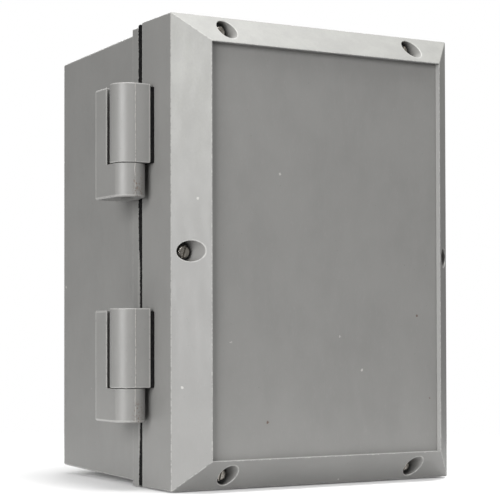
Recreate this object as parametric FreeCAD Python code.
import FreeCAD, Part
import math
import os

# Wall-mounted moulded polyester enclosure with a hinged, screwed cover and a steel subpanel inside.
# Millimetres. +X right, +Y towards the wall, +Z up. The origin is the centre of the four wall-mount
# inserts, on the flat back of the box. A "depth" below is a distance behind the front of the cover.

V = FreeCAD.Vector

# ---- overall size ----
COVER_W = 254.0
COVER_H = 356.0
TOTAL_DEPTH = 234.0
COVER_DEPTH = 69.5
WALL = 3.8
COVER_RISE = 1.4          # the cover hangs this much above the middle of the box on its hinge pins
EDGE_ROUND = 1.2
TOUCH = 0.01              # tolerance for finding an edge by its place

# ---- cover ----
BEVEL = 22.5              # 45 degree bevel around the front, and how far back it reaches
RECESS_DEPTH = 5.0        # the front panel lies this far inside the bevel
COVER_FLANGE_T = 4.0
RIDGE_FLAT = 0.5          # flat edge between the bevel and the recess
OPENING_W = 214.0         # clear opening through both flanges
OPENING_H = 316.0

# ---- box ----
RIM_FRONT = 77.6          # depth of the sealing face of the box
RIM_BACK = 87.8
RIM_INSET = 0.9           # the rim stands this far inside the cover's sides
FLANGE_T = 6.0
BOX_INSET = 3.8           # box side behind the rim, measured from the cover's side
BACK_INSET = 7.0          # the same at the back, after the moulding draft
WARP = 2.5                # the long sides of the rim bow forward below the middle
WARP_LOW = 0.5            # what is left of the bow at the bottom
BOW_START = (22.0, -20.0)      # height where the bow begins, and where it is full
BOW_END = (-125.0, -168.0)     # height where it starts to fade, and where it has faded
BOX_ROUND = 2.0

# ---- gasket ----
GASKET_INSET = 0.8
GASKET_GAP = 0.15

# ---- cover screws: M5, captive, drawn as backed out ----
SCREW_X = 85.0            # top and bottom rows, from the middle
SCREW_EDGE = BEVEL / 2    # every hole stands in the middle of the bevel
HOLE_R = 7.7
COLUMN_R = 10.4
SEAT_DEPTH = 38.5         # floor of the deep hole for the screw head
HEAD_TOP = 22.4           # depth of the slotted face with the screw backed out
HEAD_R = 5.0
HEAD_T = 3.6
HEAD_ROUND = 1.6
HEAD_SLOT_W = 1.3
HEAD_SLOT_T = 1.2
SLOT_TILTS = (18.0, 22.0, 14.0, 25.0, 16.0, 20.0)   # degrees from upright, as the screws were left
SCREW_R = 2.5
WAIST_R = 2.0
SCREW_TIP = 74.5
THREAD_LENGTH = 13.6
TIP_ROUND = 0.6
SHANK_HOLE_R = 3.0
SEAL_WASHER_R = 6.4
SEAL_WASHER_T = 1.2
HOLE_ROUND = 0.5
POCKET_R = 6.3
POCKET_DEPTH = 58.8
RETAINER_T = 0.8
RETAINER_HOLE_R = 2.3
INSERT_R = 4.0
INSERT_L = 13.0
INSERT_MOUTH = 0.5        # the rim is open this much wider than the insert
TIP_ROOM = 6.0            # blind hole behind the insert
BOX_COLUMN_R = 9.8
RUNNING = 0.05            # radial gap of a running fit
PRESSED = 0.01            # radial gap drawn at a pressed pin

# ---- hinges ----
HINGE_Z = 84.8            # middle of each hinge, above and below the middle of the cover
AXIS_OUT = 15.75          # hinge axis outside the cover's side
AXIS_DEPTH = 62.6
BARREL_R = 13.6
BARREL_H = 60.0
KNUCKLE_R = 13.1
KNUCKLE_H = 25.5
BARREL_GAP = 0.5
PAD_T = 3.5               # foam pad under the cover half
PAD_SHORT = 2.2           # the pad ends this far below the top of the barrel
BOX_PAD_INSET = 0.6       # the other pad stands this far inside the box half
BASE_BACK = 5.9           # how far the pad reaches behind the axis
BLOCK_OUT = 12.5          # outer face of the box half, outside the axis
BLOCK_BACK = 32.2         # its back face, behind the axis
BLOCK_SHORT = 1.3         # its top stands this far below the top of the barrel
BLOCK_CLEAR = 0.6         # gap between the box half and the rim it passes
BLOCK_NECK = 9.5          # the box half is full width from here back, behind the axis
RELIEF_R = 16.0           # hollow in the box half around the barrel
PIN_R = 4.0
PIN_UP = 44.0             # pin inside the barrel
PIN_HEAD_R = 5.5
PIN_HEAD_T = 2.0
PIN_RECESS = 1.2
PIN_TIP_ROUND = 1.0
PIN_TIP_ROOM = 0.3
COVER_HINGE_SCREWS = (12.0, 48.0)  # above the bottom of the barrel
BOX_HINGE_SCREWS = (-12.0, 42.0)
BOX_SCREW_INSET = 3.8              # from the back face of the box half
COVER_INSERT_L = 6.6
BOX_INSERT_L = 9.0
SCREW_SHORT = 0.8                  # a hinge screw ends this far before the end of its insert
BARREL_ROUND = 0.9
BLOCK_ROUND = 1.8

# ---- subpanel and what holds it ----
PANEL_W = 200.0
PANEL_H = 300.0
PANEL_T = 2.0
PANEL_HOLES_W = 180.0
PANEL_HOLES_H = 280.0
PANEL_CORNER_R = 8.0
PANEL_BOSS_R = 7.0
PANEL_BOSS_L = 15.0
PANEL_INSERT_L = 10.0
PANEL_SCREW_REACH = 10.0
STUD_X = -70.0
STUD_Z = -120.0
STUD_R = 3.0
STUD_L = 18.0             # in front of the subpanel
STUD_ROUND = 0.7
STUD_HEAD_R = 6.0
STUD_HEAD_T = 2.5
STUD_WASHER_R = 6.2
STUD_WASHER_T = 1.2
NUT_FLATS = 10.0
NUT_T = 5.0

# ---- wall mount ----
WALL_HOLES_W = 210.0
WALL_HOLES_H = 310.0
WALL_BOSS_R = 7.5
WALL_BOSS_L = 11.0
WALL_INSERT_R = 4.5
WALL_THREAD_R = 3.0
WALL_INSERT_L = 10.0

# ---- small screws: radii and thicknesses ----
M4 = {"thread": 2.0, "hole": 2.2, "head": 3.9, "head_t": 2.6, "washer": 4.5, "washer_t": 0.8, "insert": 2.6}
M5 = {"thread": 2.5, "hole": 2.8, "head": 4.6, "head_t": 3.2, "washer": 5.0, "washer_t": 1.0, "insert": 3.5}

AXIS_X = -(COVER_W / 2 + AXIS_OUT)
SIGNS = (-1, 1)
LEFT = V(-1, 0, 0)
BACKWARD = V(0, 1, 0)
CORNERS = [(sx, sz) for sz in (1, -1) for sx in (-1, 1)]


def y_at(depth):
    """Y of a depth behind the front of the cover."""
    return depth - TOTAL_DEPTH


AXIS_Y = y_at(AXIS_DEPTH)


def block(x0, x1, depth0, depth1, z0, z1):
    return Part.makeBox(x1 - x0, depth1 - depth0, z1 - z0, V(x0, y_at(depth0), z0))


def slab(half_w, half_h, depth0, depth1, mid_z=0.0):
    """A block centred on the enclosure."""
    return block(-half_w, half_w, depth0, depth1, mid_z - half_h, mid_z + half_h)


def tapered(half_w0, half_h0, depth0, half_w1, half_h1, depth1, mid_z=0.0):
    """A block whose sides slope from one depth to another."""
    return Part.makeWedge(
        -half_w0, y_at(depth0), mid_z - half_h0, mid_z - half_h1, -half_w1,
        half_w0, y_at(depth1), mid_z + half_h0, mid_z + half_h1, half_w1,
    )


def rod(x, z, depth0, depth1, radius):
    """A cylinder that runs front to back."""
    return Part.makeCylinder(radius, depth1 - depth0, V(x, y_at(depth0), z), V(0, 1, 0))


def cross_rod(x0, x1, depth, z, radius):
    """A cylinder that runs left to right."""
    return Part.makeCylinder(radius, x1 - x0, V(x0, y_at(depth), z), V(1, 0, 0))


def post(z0, z1, radius):
    """A cylinder on the hinge axis."""
    return Part.makeCylinder(radius, z1 - z0, V(AXIS_X, AXIS_Y, z0))


def tube(x, z, depth0, depth1, outer_r, inner_r):
    return without(rod(x, z, depth0, depth1, outer_r), rod(x, z, depth0 - 1, depth1 + 1, inner_r))


def joined(first, *others):
    return first.fuse(list(others)).removeSplitter()


def without(shape, *others):
    return shape.cut(list(others))


def rounded(shape, radius, wanted):
    """The shape with a fillet along each edge that the test picks."""
    edges = [edge for edge in shape.Edges if wanted(edge)]
    return shape.makeFillet(radius, edges)


def at_depth(depth):
    """Picks the edges that lie in the plane at this depth."""
    y = y_at(depth)
    return lambda edge: abs(edge.BoundBox.YMin - y) < TOUCH and abs(edge.BoundBox.YMax - y) < TOUCH


def upright_at(*heights):
    """Picks the edges that lie level at one of these heights."""
    def wanted(edge):
        box = edge.BoundBox
        return box.ZLength < TOUCH and any(abs(box.ZMin - z) < TOUCH for z in heights)

    return wanted


def write(name, *shapes):
    """One STEP file per node, of one solid or several separate ones."""
    solids = [solid for shape in shapes for solid in shape.Solids]
    if len(solids) != len(shapes) or not all(solid.isValid() for solid in solids):
        raise ValueError(f"{name}: {len(shapes)} pieces gave {len(solids)} solids, or a bad one")
    whole = solids[0] if len(solids) == 1 else Part.makeCompound(solids)
    whole.exportStep(f"parts/{name}.step")


# ---- cover ----

def cover_screw_places():
    """Centres of the six cover screws, as x and z."""
    row_z = COVER_H / 2 - SCREW_EDGE
    side_x = COVER_W / 2 - SCREW_EDGE
    places = [(sx * SCREW_X, COVER_RISE + sz * row_z) for sx, sz in CORNERS]
    return places + [(sx * side_x, COVER_RISE) for sx in SIGNS]


def cover_outside():
    """The solid outline of the cover, with its bevel."""
    half_w, half_h = COVER_W / 2, COVER_H / 2
    front = tapered(half_w - BEVEL, half_h - BEVEL, 0.0, half_w, half_h, BEVEL, COVER_RISE)
    body = slab(half_w, half_h, BEVEL, COVER_DEPTH, COVER_RISE)
    nose, back = at_depth(0.0), at_depth(COVER_DEPTH)
    return rounded(joined(front, body), EDGE_ROUND, lambda edge: not nose(edge) and not back(edge))


def cover_inside():
    """The hollow behind the front panel, as far as the flange."""
    panel_back = RECESS_DEPTH + WALL
    inner_w, inner_h = COVER_W / 2 - WALL, COVER_H / 2 - WALL
    bend = BEVEL + WALL * (math.sqrt(2.0) - 1.0)
    slope = bend - panel_back
    front = tapered(inner_w - slope, inner_h - slope, panel_back, inner_w, inner_h, bend, COVER_RISE)
    body = slab(inner_w, inner_h, bend, COVER_DEPTH - COVER_FLANGE_T, COVER_RISE)
    return joined(front, body)


def make_cover():
    outside = cover_outside()
    columns = [rod(x, z, 0.0, COVER_DEPTH, COLUMN_R).common(outside) for x, z in cover_screw_places()]
    flange_front = COVER_DEPTH - COVER_FLANGE_T
    opening = slab(OPENING_W / 2, OPENING_H / 2, flange_front - 1, COVER_DEPTH + 1, COVER_RISE)
    shell = joined(without(outside, cover_inside(), opening), *columns)
    inset = BEVEL + RIDGE_FLAT
    recess = slab(COVER_W / 2 - inset, COVER_H / 2 - inset, -1.0, RECESS_DEPTH, COVER_RISE)
    bores = [rod(x, z, -1.0, SEAT_DEPTH, HOLE_R) for x, z in cover_screw_places()]
    shell = rounded(without(shell, recess, *bores), HOLE_ROUND, on_bevel)
    cuts = []
    for x, z in cover_screw_places():
        cuts.append(rod(x, z, SEAT_DEPTH - 1, POCKET_DEPTH + 1, SHANK_HOLE_R))
        cuts.append(rod(x, z, POCKET_DEPTH, COVER_DEPTH + 1, POCKET_R))
    wall_x = -COVER_W / 2
    for z in cover_hinge_screw_zs():
        cuts.append(cross_rod(wall_x - 1, wall_x + WALL + 1, cover_hinge_screw_depth(), z, M5["hole"]))
    return without(shell, *cuts)


def on_bevel(edge):
    """Picks the rims of the screw holes: ovals that lean at 45 degrees in the bevel."""
    box = edge.BoundBox
    wide = max(box.XLength, box.ZLength)
    oval = abs(wide - 2 * HOLE_R) < TOUCH and abs(box.YLength - 2 * HOLE_R) < TOUCH
    return oval and box.YMax < y_at(BEVEL)


def rim_face(depth_shift):
    """Air in front of the sealing face of the box: everything nearer than the bowed long sides."""
    flat = y_at(RIM_FRONT - depth_shift)
    bowed = flat - WARP
    low = flat - WARP_LOW
    front = y_at(COVER_DEPTH / 2)
    top, bottom = COVER_H, -COVER_H

    def line(z0, y0, z1, y1):
        return Part.LineSegment(V(0, y0, z0), V(0, y1, z1)).toShape()

    def ease(z0, y0, z1, y1):
        curve = Part.BezierCurve()
        mid = (z0 + z1) / 2
        curve.setPoles([V(0, y0, z0), V(0, y0, mid), V(0, y1, mid), V(0, y1, z1)])
        return curve.toShape()

    edges = [
        line(top, flat, BOW_START[0], flat),
        ease(BOW_START[0], flat, BOW_START[1], bowed),
        line(BOW_START[1], bowed, BOW_END[0], bowed),
        ease(BOW_END[0], bowed, BOW_END[1], low),
        line(BOW_END[1], low, bottom, low),
        line(bottom, low, bottom, front),
        line(bottom, front, top, front),
        line(top, front, top, flat),
    ]
    air = Part.Face(Part.Wire(edges)).extrude(V(2 * COVER_W, 0, 0))
    air.translate(V(-COVER_W, 0, 0))
    return air


def make_gasket():
    half_w, half_h = COVER_W / 2 - GASKET_INSET, COVER_H / 2 - GASKET_INSET
    ring = slab(half_w, half_h, COVER_DEPTH, RIM_FRONT, COVER_RISE)
    opening = slab(OPENING_W / 2 + 1, OPENING_H / 2 + 1, COVER_DEPTH - 1, RIM_FRONT + 1, COVER_RISE)
    holes = [rod(x, z, COVER_DEPTH - 1, RIM_FRONT + 1, POCKET_R) for x, z in cover_screw_places()]
    return without(ring, opening, *holes).common(rim_face(GASKET_GAP))


# ---- cover screws ----

def make_cover_screw(x, z, tilt_degrees):
    seat = HEAD_TOP + HEAD_T
    thread_start = SCREW_TIP - THREAD_LENGTH
    head = rounded(rod(x, z, HEAD_TOP, seat, HEAD_R), HEAD_ROUND, at_depth(HEAD_TOP))
    waist = rod(x, z, seat - 0.5, thread_start + 0.5, WAIST_R)
    thread = rounded(rod(x, z, thread_start, SCREW_TIP, SCREW_R), TIP_ROUND, at_depth(SCREW_TIP))

    reach = HEAD_R + 1
    slot = Part.makeBox(HEAD_SLOT_W, HEAD_SLOT_T + 1, 2 * reach, V(-HEAD_SLOT_W / 2, y_at(HEAD_TOP) - 1, -reach))
    slot.rotate(V(0, 0, 0), V(0, 1, 0), tilt_degrees)
    slot.translate(V(x, 0, z))
    return without(joined(head, waist, thread), slot)


def make_seal_washer(x, z):
    front = HEAD_TOP + HEAD_T
    return tube(x, z, front, front + SEAL_WASHER_T, SEAL_WASHER_R, WAIST_R + RUNNING)


def make_retainer(x, z):
    """A push-on ring on the pocket floor; the waist passes it and the thread doesn't."""
    return tube(x, z, POCKET_DEPTH, POCKET_DEPTH + RETAINER_T, POCKET_R, RETAINER_HOLE_R)


def make_cover_insert(x, z):
    return tube(x, z, RIM_FRONT, RIM_FRONT + INSERT_L, INSERT_R, SCREW_R + RUNNING)


# ---- small screws, each with its washer and insert ----

def aimed(shape, x, depth, z, direction):
    """A piece made along +Z from the origin, moved to a place and turned to point along a direction."""
    shape.Placement = FreeCAD.Placement(V(x, y_at(depth), z), FreeCAD.Rotation(V(0, 0, 1), direction))
    return shape


def ring(outer_r, inner_r, z0, length):
    outer = Part.makeCylinder(outer_r, length, V(0, 0, z0))
    return without(outer, Part.makeCylinder(inner_r, length + 2, V(0, 0, z0 - 1)))


def pan_screw(size, seat, tip):
    """A slotted pan-head screw that points along +Z."""
    top = seat - size["head_t"]
    head = Part.makeCylinder(size["head"], size["head_t"], V(0, 0, top))
    head = rounded(head, size["head_t"] * 0.4, upright_at(top))
    shank = Part.makeCylinder(size["thread"], tip - seat + 0.5, V(0, 0, seat - 0.5))
    slot_w = size["thread"] * 0.5
    reach = size["head"] + 1
    slot = Part.makeBox(slot_w, 2 * reach, size["head_t"] * 0.4 + 1, V(-slot_w / 2, -reach, top - 1))
    return without(joined(head, shank), slot)


def fixing(size, place, direction, tip, insert_from, insert_l):
    """Screw, washer and insert on one line. Lengths run from the surface under the washer."""
    screw = pan_screw(size, -size["washer_t"], tip)
    washer = ring(size["washer"], size["thread"] + 0.1, -size["washer_t"], size["washer_t"])
    insert = ring(size["insert"], size["thread"], insert_from, insert_l)
    return [aimed(shape, *place, direction) for shape in (screw, washer, insert)]


# ---- hinges ----

def hinge_bottom(side):
    """Bottom of the upper (1) or lower (-1) hinge."""
    return COVER_RISE + side * HINGE_Z - (KNUCKLE_H + BARREL_GAP + BARREL_H) / 2


def barrel_bottom(side):
    return hinge_bottom(side) + KNUCKLE_H + BARREL_GAP


def block_top(side):
    return barrel_bottom(side) + BARREL_H - BLOCK_SHORT


def cover_hinge_screw_depth():
    """Middle of the foot of the cover half."""
    return AXIS_DEPTH + (BASE_BACK - BARREL_R) / 2


def cover_hinge_screw_zs():
    return [barrel_bottom(side) + up for side in SIGNS for up in COVER_HINGE_SCREWS]


def box_hinge_screw_depth():
    return AXIS_DEPTH + BLOCK_BACK - BOX_SCREW_INSET


def box_hinge_screw_zs():
    return [barrel_bottom(side) + up for side in SIGNS for up in BOX_HINGE_SCREWS]


def foot_x():
    """Foot of the cover half, on its pad."""
    return -COVER_W / 2 - PAD_T


def block_x():
    """Inner face of the box half, clear of the rim."""
    return -COVER_W / 2 + RIM_INSET - BLOCK_CLEAR


def spot_x():
    """Flat seat for the washers inside the sloping box wall."""
    return -COVER_W / 2 + BOX_INSET + WALL + 0.2


def hinge_face(steps, z):
    """A flat outline around the hinge axis. Each step is a point, or an arc as (through, end).

    Points are (inward, backward) from the axis."""
    def at(point):
        return V(AXIS_X + point[0], AXIS_Y + point[1], z)

    edges = []
    here = steps[0]
    for step in steps[1:]:
        if isinstance(step[0], tuple):
            edges.append(Part.Arc(at(here), at(step[0]), at(step[1])).toShape())
            here = step[1]
        else:
            edges.append(Part.LineSegment(at(here), at(step)).toShape())
            here = step
    return Part.Face(Part.Wire(edges))


def on_circle(radius, offset):
    """The other leg of a point on a circle about the axis."""
    return math.sqrt(radius ** 2 - offset ** 2)


def make_cover_half(side):
    """Barrel with a squared foot on the side of the cover, bored from below for the pin."""
    z0 = barrel_bottom(side)
    foot = AXIS_OUT - PAD_T
    outline = [
        (0, -BARREL_R), (foot, -BARREL_R), (foot, on_circle(BARREL_R, foot)),
        ((-BARREL_R, 0), (0, -BARREL_R)),
    ]
    half = hinge_face(outline, z0).extrude(V(0, 0, BARREL_H))
    half = rounded(half, BARREL_ROUND, upright_at(z0, z0 + BARREL_H))
    cuts = [post(z0 - 1, z0 + PIN_UP + PIN_TIP_ROOM, PIN_R + RUNNING)]
    for up in COVER_HINGE_SCREWS:
        cuts.append(cross_rod(foot_x() - COVER_INSERT_L, foot_x() + 1, cover_hinge_screw_depth(), z0 + up,
                              M5["insert"]))
    return without(half, *cuts)


def make_box_half(side):
    """Block on the side of the box, hollowed around the barrel, with the knuckle below it."""
    z0 = hinge_bottom(side)
    z_step = z0 + KNUCKLE_H
    z1 = block_top(side)
    inner = block_x() - AXIS_X
    beside_barrel = [
        (-BLOCK_OUT, on_circle(RELIEF_R, BLOCK_OUT)), (-BLOCK_OUT, BLOCK_BACK), (inner, BLOCK_BACK),
        (inner, BLOCK_NECK), (on_circle(RELIEF_R, BLOCK_NECK), BLOCK_NECK),
        ((0, RELIEF_R), (-BLOCK_OUT, on_circle(RELIEF_R, BLOCK_OUT))),
    ]
    knuckle = [
        (-BLOCK_OUT, -on_circle(KNUCKLE_R, BLOCK_OUT)), (-BLOCK_OUT, BLOCK_BACK), (inner, BLOCK_BACK),
        (inner, BLOCK_NECK), (KNUCKLE_R, BLOCK_NECK), (KNUCKLE_R, 0),
        ((0, -KNUCKLE_R), (-BLOCK_OUT, -on_circle(KNUCKLE_R, BLOCK_OUT))),
    ]
    half = joined(
        hinge_face(knuckle, z0).extrude(V(0, 0, KNUCKLE_H)),
        hinge_face(beside_barrel, z_step).extrude(V(0, 0, z1 - z_step)),
    )
    ends = upright_at(z0, z1)

    def outline(edge):
        box = edge.BoundBox
        spine = abs(box.XMax - (AXIS_X - BLOCK_OUT)) < TOUCH and abs(box.YMin - (AXIS_Y + BLOCK_BACK)) < TOUCH
        return ends(edge) or spine

    half = rounded(half, BLOCK_ROUND, outline)
    cuts = [
        post(z0 - 1, z_step + 1, PIN_R + PRESSED),
        post(z0 - 1, z0 + PIN_RECESS + PIN_HEAD_T, PIN_HEAD_R + PRESSED),
    ]
    for up in BOX_HINGE_SCREWS:
        cuts.append(cross_rod(block_x() - BOX_INSERT_L, block_x() + 1, box_hinge_screw_depth(),
                              barrel_bottom(side) + up, M4["insert"]))
    return without(half, *cuts)


def make_pin(side):
    z0 = hinge_bottom(side) + PIN_RECESS
    top = barrel_bottom(side) + PIN_UP
    shank = rounded(post(z0, top, PIN_R), PIN_TIP_ROUND, upright_at(top))
    return joined(post(z0, z0 + PIN_HEAD_T, PIN_HEAD_R), shank)


def make_cover_pad(side):
    z0 = barrel_bottom(side)
    pad = block(foot_x(), -COVER_W / 2, AXIS_DEPTH - BARREL_R, AXIS_DEPTH + BASE_BACK, z0, z0 + BARREL_H - PAD_SHORT)
    holes = [cross_rod(foot_x() - 1, -COVER_W / 2 + 1, cover_hinge_screw_depth(), z, M5["hole"])
             for z in cover_hinge_screw_zs()]
    return without(pad, *holes)


def make_box_pad(side):
    z0, z1 = hinge_bottom(side) + BOX_PAD_INSET, block_top(side) - BOX_PAD_INSET
    wall_x = -COVER_W / 2 + BACK_INSET
    pad = block(block_x(), wall_x, RIM_BACK + 0.2, AXIS_DEPTH + BLOCK_BACK - BOX_PAD_INSET, z0, z1)
    holes = [cross_rod(block_x() - 1, wall_x + 1, box_hinge_screw_depth(), z, M4["hole"])
             for z in box_hinge_screw_zs()]
    return without(pad, box_outside(), *holes)


def cover_hinge_fixings():
    wall_x = -COVER_W / 2 + WALL
    gap = wall_x - foot_x()
    tip = gap + COVER_INSERT_L - SCREW_SHORT
    return [fixing(M5, (wall_x, cover_hinge_screw_depth(), z), LEFT, tip, gap, COVER_INSERT_L)
            for z in cover_hinge_screw_zs()]


def box_hinge_fixings():
    gap = spot_x() - block_x()
    tip = gap + BOX_INSERT_L - SCREW_SHORT
    return [fixing(M4, (spot_x(), box_hinge_screw_depth(), z), LEFT, tip, gap, BOX_INSERT_L)
            for z in box_hinge_screw_zs()]


# ---- box ----

def box_outside():
    """The drafted box behind the rim, without the rim itself."""
    return tapered(
        COVER_W / 2 - BOX_INSET, COVER_H / 2 - BOX_INSET, RIM_FRONT,
        COVER_W / 2 - BACK_INSET, COVER_H / 2 - BACK_INSET, TOTAL_DEPTH,
    )


def wall_places():
    return [(sx * WALL_HOLES_W / 2, sz * WALL_HOLES_H / 2) for sx, sz in CORNERS]


def panel_places():
    return [(sx * PANEL_HOLES_W / 2, sz * PANEL_HOLES_H / 2) for sx, sz in CORNERS]


def make_box():
    on_back = at_depth(TOTAL_DEPTH)
    drafted = rounded(box_outside(), BOX_ROUND, lambda edge: edge.BoundBox.YLength > BOX_ROUND or on_back(edge))
    rim = slab(COVER_W / 2 - RIM_INSET, COVER_H / 2 - RIM_INSET, RIM_FRONT - WARP - 1, RIM_BACK)
    rim = rounded(rim, EDGE_ROUND, lambda edge: edge.BoundBox.YLength > EDGE_ROUND)

    flange_back = RIM_FRONT + FLANGE_T
    back_inner = TOTAL_DEPTH - WALL
    hollow = tapered(
        COVER_W / 2 - BOX_INSET - WALL, COVER_H / 2 - BOX_INSET - WALL, flange_back,
        COVER_W / 2 - BACK_INSET - WALL, COVER_H / 2 - BACK_INSET - WALL, back_inner,
    )
    opening = slab(OPENING_W / 2, OPENING_H / 2, RIM_FRONT - WARP - 2, flange_back + 1)
    shell = without(joined(rim, drafted), hollow, opening)

    boss_front = panel_depth() + PANEL_T
    columns = [rod(x, z, RIM_FRONT, TOTAL_DEPTH - 1, BOX_COLUMN_R).common(drafted) for x, z in cover_screw_places()]
    bosses = [rod(x, z, boss_front, back_inner + 1, PANEL_BOSS_R) for x, z in panel_places()]
    bosses += [rod(x, z, back_inner - WALL_BOSS_L, back_inner + 1, WALL_BOSS_R) for x, z in wall_places()]
    body = joined(shell, *columns, *bosses)

    cuts = [rim_face(0.0)]
    for x, z in cover_screw_places():
        cuts.append(rod(x, z, RIM_FRONT - WARP - 2, RIM_FRONT, INSERT_R + INSERT_MOUTH))
        cuts.append(rod(x, z, RIM_FRONT - 1, RIM_FRONT + INSERT_L, INSERT_R))
        cuts.append(rod(x, z, RIM_FRONT, RIM_FRONT + INSERT_L + TIP_ROOM, SCREW_R + INSERT_MOUTH))
    cuts += [rod(x, z, boss_front - 1, boss_front + PANEL_INSERT_L, M5["insert"]) for x, z in panel_places()]
    cuts += [rod(x, z, TOTAL_DEPTH - WALL_INSERT_L, TOTAL_DEPTH + 1, WALL_INSERT_R) for x, z in wall_places()]
    for z in box_hinge_screw_zs():
        cuts.append(cross_rod(block_x(), spot_x() + 1, box_hinge_screw_depth(), z, M4["hole"]))
        cuts.append(cross_rod(spot_x(), spot_x() + BACK_INSET, box_hinge_screw_depth(), z, M5["washer"]))
    return without(body, *cuts)


# ---- subpanel ----

def panel_depth():
    """Depth of the front face of the subpanel."""
    return TOTAL_DEPTH - WALL - PANEL_BOSS_L - PANEL_T


def make_subpanel():
    front, back = panel_depth(), panel_depth() + PANEL_T
    plate = slab(PANEL_W / 2, PANEL_H / 2, front, back)
    plate = rounded(plate, PANEL_CORNER_R, lambda edge: edge.BoundBox.YLength > 1)
    holes = [rod(x, z, front - 1, back + 1, M5["hole"]) for x, z in panel_places()]
    return without(plate, *holes, rod(STUD_X, STUD_Z, front - 1, back + 1, STUD_R + RUNNING))


def panel_fixings():
    return [fixing(M5, (x, panel_depth(), z), BACKWARD, PANEL_SCREW_REACH, PANEL_T, PANEL_INSERT_L)
            for x, z in panel_places()]


def make_ground_stud():
    """A threaded stud with a flat head behind the subpanel."""
    tip, back = panel_depth() - STUD_L, panel_depth() + PANEL_T
    shank = rounded(rod(STUD_X, STUD_Z, tip, back + 0.5, STUD_R), STUD_ROUND, at_depth(tip))
    return joined(shank, rod(STUD_X, STUD_Z, back, back + STUD_HEAD_T, STUD_HEAD_R))


def make_ground_washer():
    return tube(STUD_X, STUD_Z, panel_depth() - STUD_WASHER_T, panel_depth(), STUD_WASHER_R, STUD_R + RUNNING)


def make_ground_nut():
    front = panel_depth() - STUD_WASHER_T - NUT_T
    corner_r = NUT_FLATS / math.sqrt(3.0)
    corners = []
    for turn in range(7):
        angle = math.radians(60 * turn)
        corners.append(V(STUD_X + corner_r * math.cos(angle), y_at(front), STUD_Z + corner_r * math.sin(angle)))
    nut = Part.Face(Part.makePolygon(corners)).extrude(V(0, NUT_T, 0))
    return without(nut, rod(STUD_X, STUD_Z, front - 1, front + NUT_T + 1, STUD_R))


def make_wall_inserts():
    front = TOTAL_DEPTH - WALL_INSERT_L
    return [tube(x, z, front, TOTAL_DEPTH, WALL_INSERT_R, WALL_THREAD_R) for x, z in wall_places()]


def main():
    os.makedirs("parts", exist_ok=True)
    write("box_body", make_box())
    write("cover", make_cover())
    write("cover_gasket", make_gasket())
    for name, side in (("upper", 1), ("lower", -1)):
        write(f"{name}_hinge_cover_half", make_cover_half(side))
        write(f"{name}_hinge_box_half", make_box_half(side))
        write(f"{name}_hinge_pin", make_pin(side))
        write(f"{name}_hinge_cover_pad", make_cover_pad(side))
        write(f"{name}_hinge_box_pad", make_box_pad(side))

    groups = {"hinge_cover": cover_hinge_fixings(), "hinge_box": box_hinge_fixings(), "subpanel": panel_fixings()}
    for name, fixings in groups.items():
        for kind, shapes in zip(("screws", "washers", "inserts"), zip(*fixings)):
            write(f"{name}_{kind}", *shapes)

    places = cover_screw_places()
    for number, ((x, z), tilt) in enumerate(zip(places, SLOT_TILTS), start=1):
        write(f"cover_screw_{number}", make_cover_screw(x, z, tilt))
        write(f"cover_screw_washer_{number}", make_seal_washer(x, z))
    write("cover_screw_retainers", *[make_retainer(x, z) for x, z in places])
    write("cover_screw_inserts", *[make_cover_insert(x, z) for x, z in places])

    write("subpanel", make_subpanel())
    write("ground_stud", make_ground_stud())
    write("ground_stud_washer", make_ground_washer())
    write("ground_stud_nut", make_ground_nut())
    write("wall_mount_inserts", *make_wall_inserts())


main()
